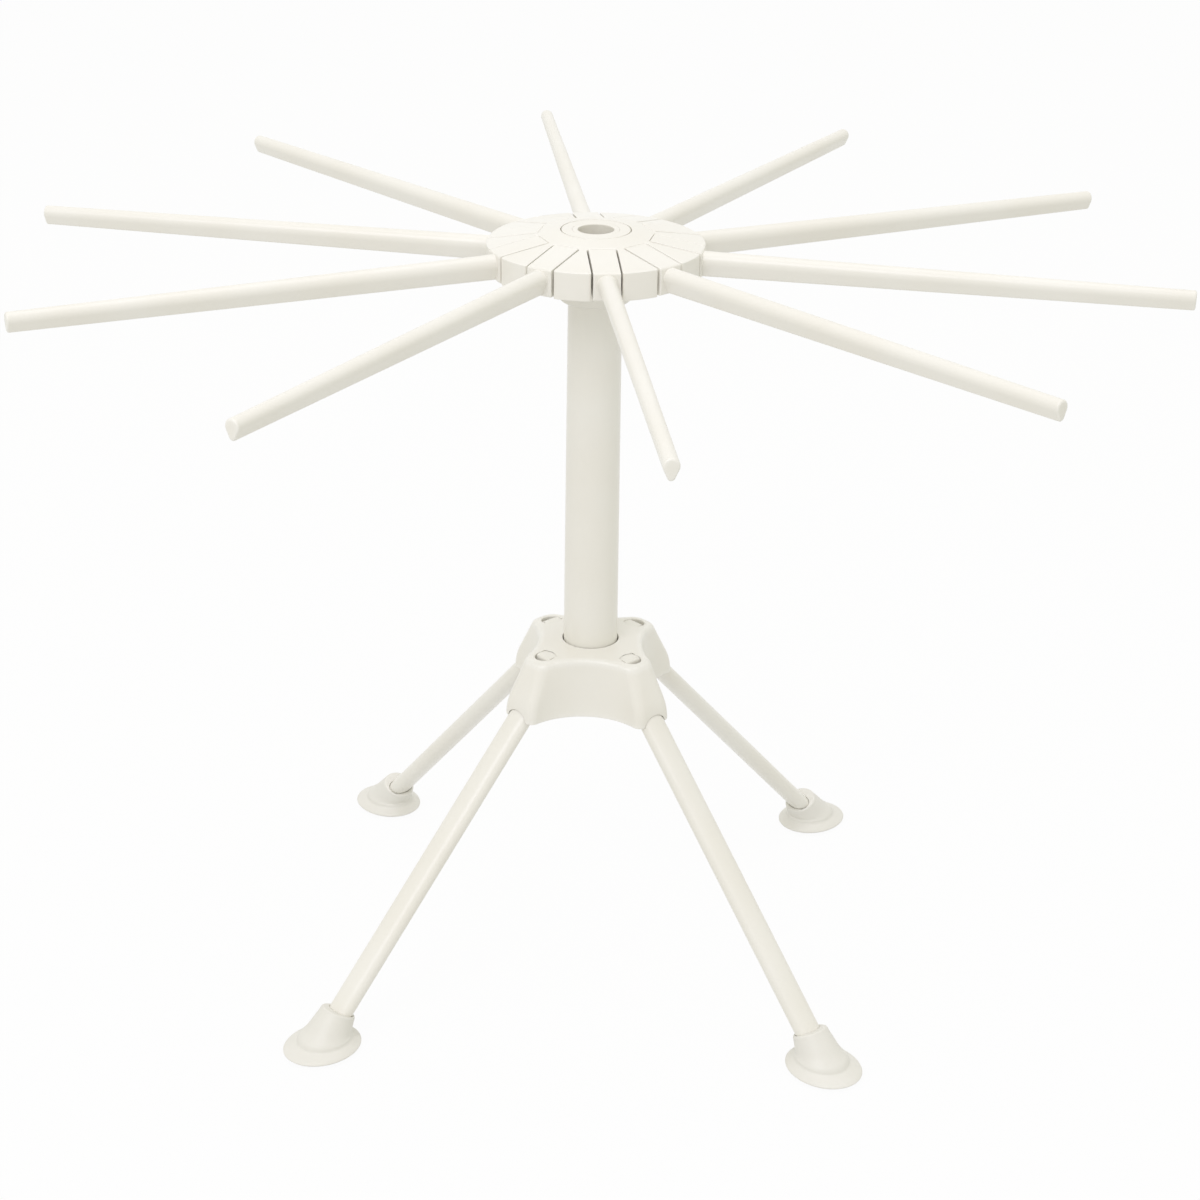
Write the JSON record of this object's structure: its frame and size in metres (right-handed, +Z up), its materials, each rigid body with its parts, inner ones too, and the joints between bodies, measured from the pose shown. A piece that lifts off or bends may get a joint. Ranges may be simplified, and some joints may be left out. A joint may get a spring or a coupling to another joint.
{
  "type": "pasta drying rack",
  "caption": "Folding pasta drying rack: rod arms on a slotted turning hub, a round post and a lobed collar with splayed fold-in legs on pad feet.",
  "frame": {"origin": "on the ground, on the post's axis, midway between the four feet", "axes": "+Z up along the post; the legs stand at 45, 135, 225 and 315 degrees about +Z, -Y faces the viewer of the picture"},
  "size_m": [0.4154, 0.4154, 0.2897],
  "materials": {
    "ivory_plastic": "satin moulded",
    "foot_plastic": "soft moulded",
    "screw_steel": "zinc plated"
  },
  "bodies": {
    "stand": {"collar": "ivory_plastic", "post": "ivory_plastic", "retaining_ring": "ivory_plastic", "post_screw": "screw_steel"},
    "hub": {"hub": "ivory_plastic", "keeper_plate": "ivory_plastic", "keeper_screws": "screw_steel"},
    "arm_01": {"arm_01": "ivory_plastic"},
    "arm_02": {"arm_02": "ivory_plastic"},
    "arm_03": {"arm_03": "ivory_plastic"},
    "arm_04": {"arm_04": "ivory_plastic"},
    "arm_05": {"arm_05": "ivory_plastic"},
    "arm_06": {"arm_06": "ivory_plastic"},
    "arm_07": {"arm_07": "ivory_plastic"},
    "arm_08": {"arm_08": "ivory_plastic"},
    "arm_09": {"arm_09": "ivory_plastic"},
    "arm_10": {"arm_10": "ivory_plastic"},
    "leg_back_right": {"leg_back_right": "ivory_plastic", "foot_back_right": "foot_plastic"},
    "leg_back_left": {"leg_back_left": "ivory_plastic", "foot_back_left": "foot_plastic"},
    "leg_front_left": {"leg_front_left": "ivory_plastic", "foot_front_left": "foot_plastic"},
    "leg_front_right": {"leg_front_right": "ivory_plastic", "foot_front_right": "foot_plastic"}
  },
  "joints": [
    {"name": "hub_spin", "type": "hinge", "parent": "stand", "child": "hub", "pos_m": [0, 0, 0.28], "axis": [0, 0, 1], "continuous": true},
    {"name": "arm_01_fold", "type": "hinge", "parent": "hub", "child": "arm_01", "pos_m": [0.02281, 0.01162, 0.2805], "axis": [-0.454, 0.891, 0], "range_deg": [0, 80]},
    {"name": "arm_02_fold", "type": "hinge", "parent": "hub", "child": "arm_02", "pos_m": [0.01162, 0.02281, 0.2805], "axis": [-0.891, 0.454, 0], "range_deg": [0, 80]},
    {"name": "arm_03_fold", "type": "hinge", "parent": "hub", "child": "arm_03", "pos_m": [-0.004, 0.02528, 0.2805], "axis": [-0.9877, -0.1564, 0], "range_deg": [0, 80]},
    {"name": "arm_04_fold", "type": "hinge", "parent": "hub", "child": "arm_04", "pos_m": [-0.0181, 0.0181, 0.2805], "axis": [-0.7071, -0.7071, 0], "range_deg": [0, 80]},
    {"name": "arm_05_fold", "type": "hinge", "parent": "hub", "child": "arm_05", "pos_m": [-0.02528, 0.004, 0.2805], "axis": [-0.1564, -0.9877, 0], "range_deg": [0, 80]},
    {"name": "arm_06_fold", "type": "hinge", "parent": "hub", "child": "arm_06", "pos_m": [-0.02281, -0.01162, 0.2805], "axis": [0.454, -0.891, 0], "range_deg": [0, 80]},
    {"name": "arm_07_fold", "type": "hinge", "parent": "hub", "child": "arm_07", "pos_m": [-0.01162, -0.02281, 0.2805], "axis": [0.891, -0.454, 0], "range_deg": [0, 80]},
    {"name": "arm_08_fold", "type": "hinge", "parent": "hub", "child": "arm_08", "pos_m": [0.004, -0.02528, 0.2805], "axis": [0.9877, 0.1564, 0], "range_deg": [0, 80]},
    {"name": "arm_09_fold", "type": "hinge", "parent": "hub", "child": "arm_09", "pos_m": [0.0181, -0.0181, 0.2805], "axis": [0.7071, 0.7071, 0], "range_deg": [0, 80]},
    {"name": "arm_10_fold", "type": "hinge", "parent": "hub", "child": "arm_10", "pos_m": [0.02528, -0.004, 0.2805], "axis": [0.1564, 0.9877, 0], "range_deg": [0, 80]},
    {"name": "leg_back_right_fold", "type": "hinge", "parent": "stand", "child": "leg_back_right", "pos_m": [0.01428, 0.01428, 0.1219], "axis": [-0.7071, 0.7071, 0], "range_deg": [0, 43.1]},
    {"name": "leg_back_left_fold", "type": "hinge", "parent": "stand", "child": "leg_back_left", "pos_m": [-0.01428, 0.01428, 0.1219], "axis": [-0.7071, -0.7071, 0], "range_deg": [0, 43.1]},
    {"name": "leg_front_left_fold", "type": "hinge", "parent": "stand", "child": "leg_front_left", "pos_m": [-0.01428, -0.01428, 0.1219], "axis": [0.7071, -0.7071, 0], "range_deg": [0, 43.1]},
    {"name": "leg_front_right_fold", "type": "hinge", "parent": "stand", "child": "leg_front_right", "pos_m": [0.01428, -0.01428, 0.1219], "axis": [0.7071, 0.7071, 0], "range_deg": [0, 43.1]}
  ]
}
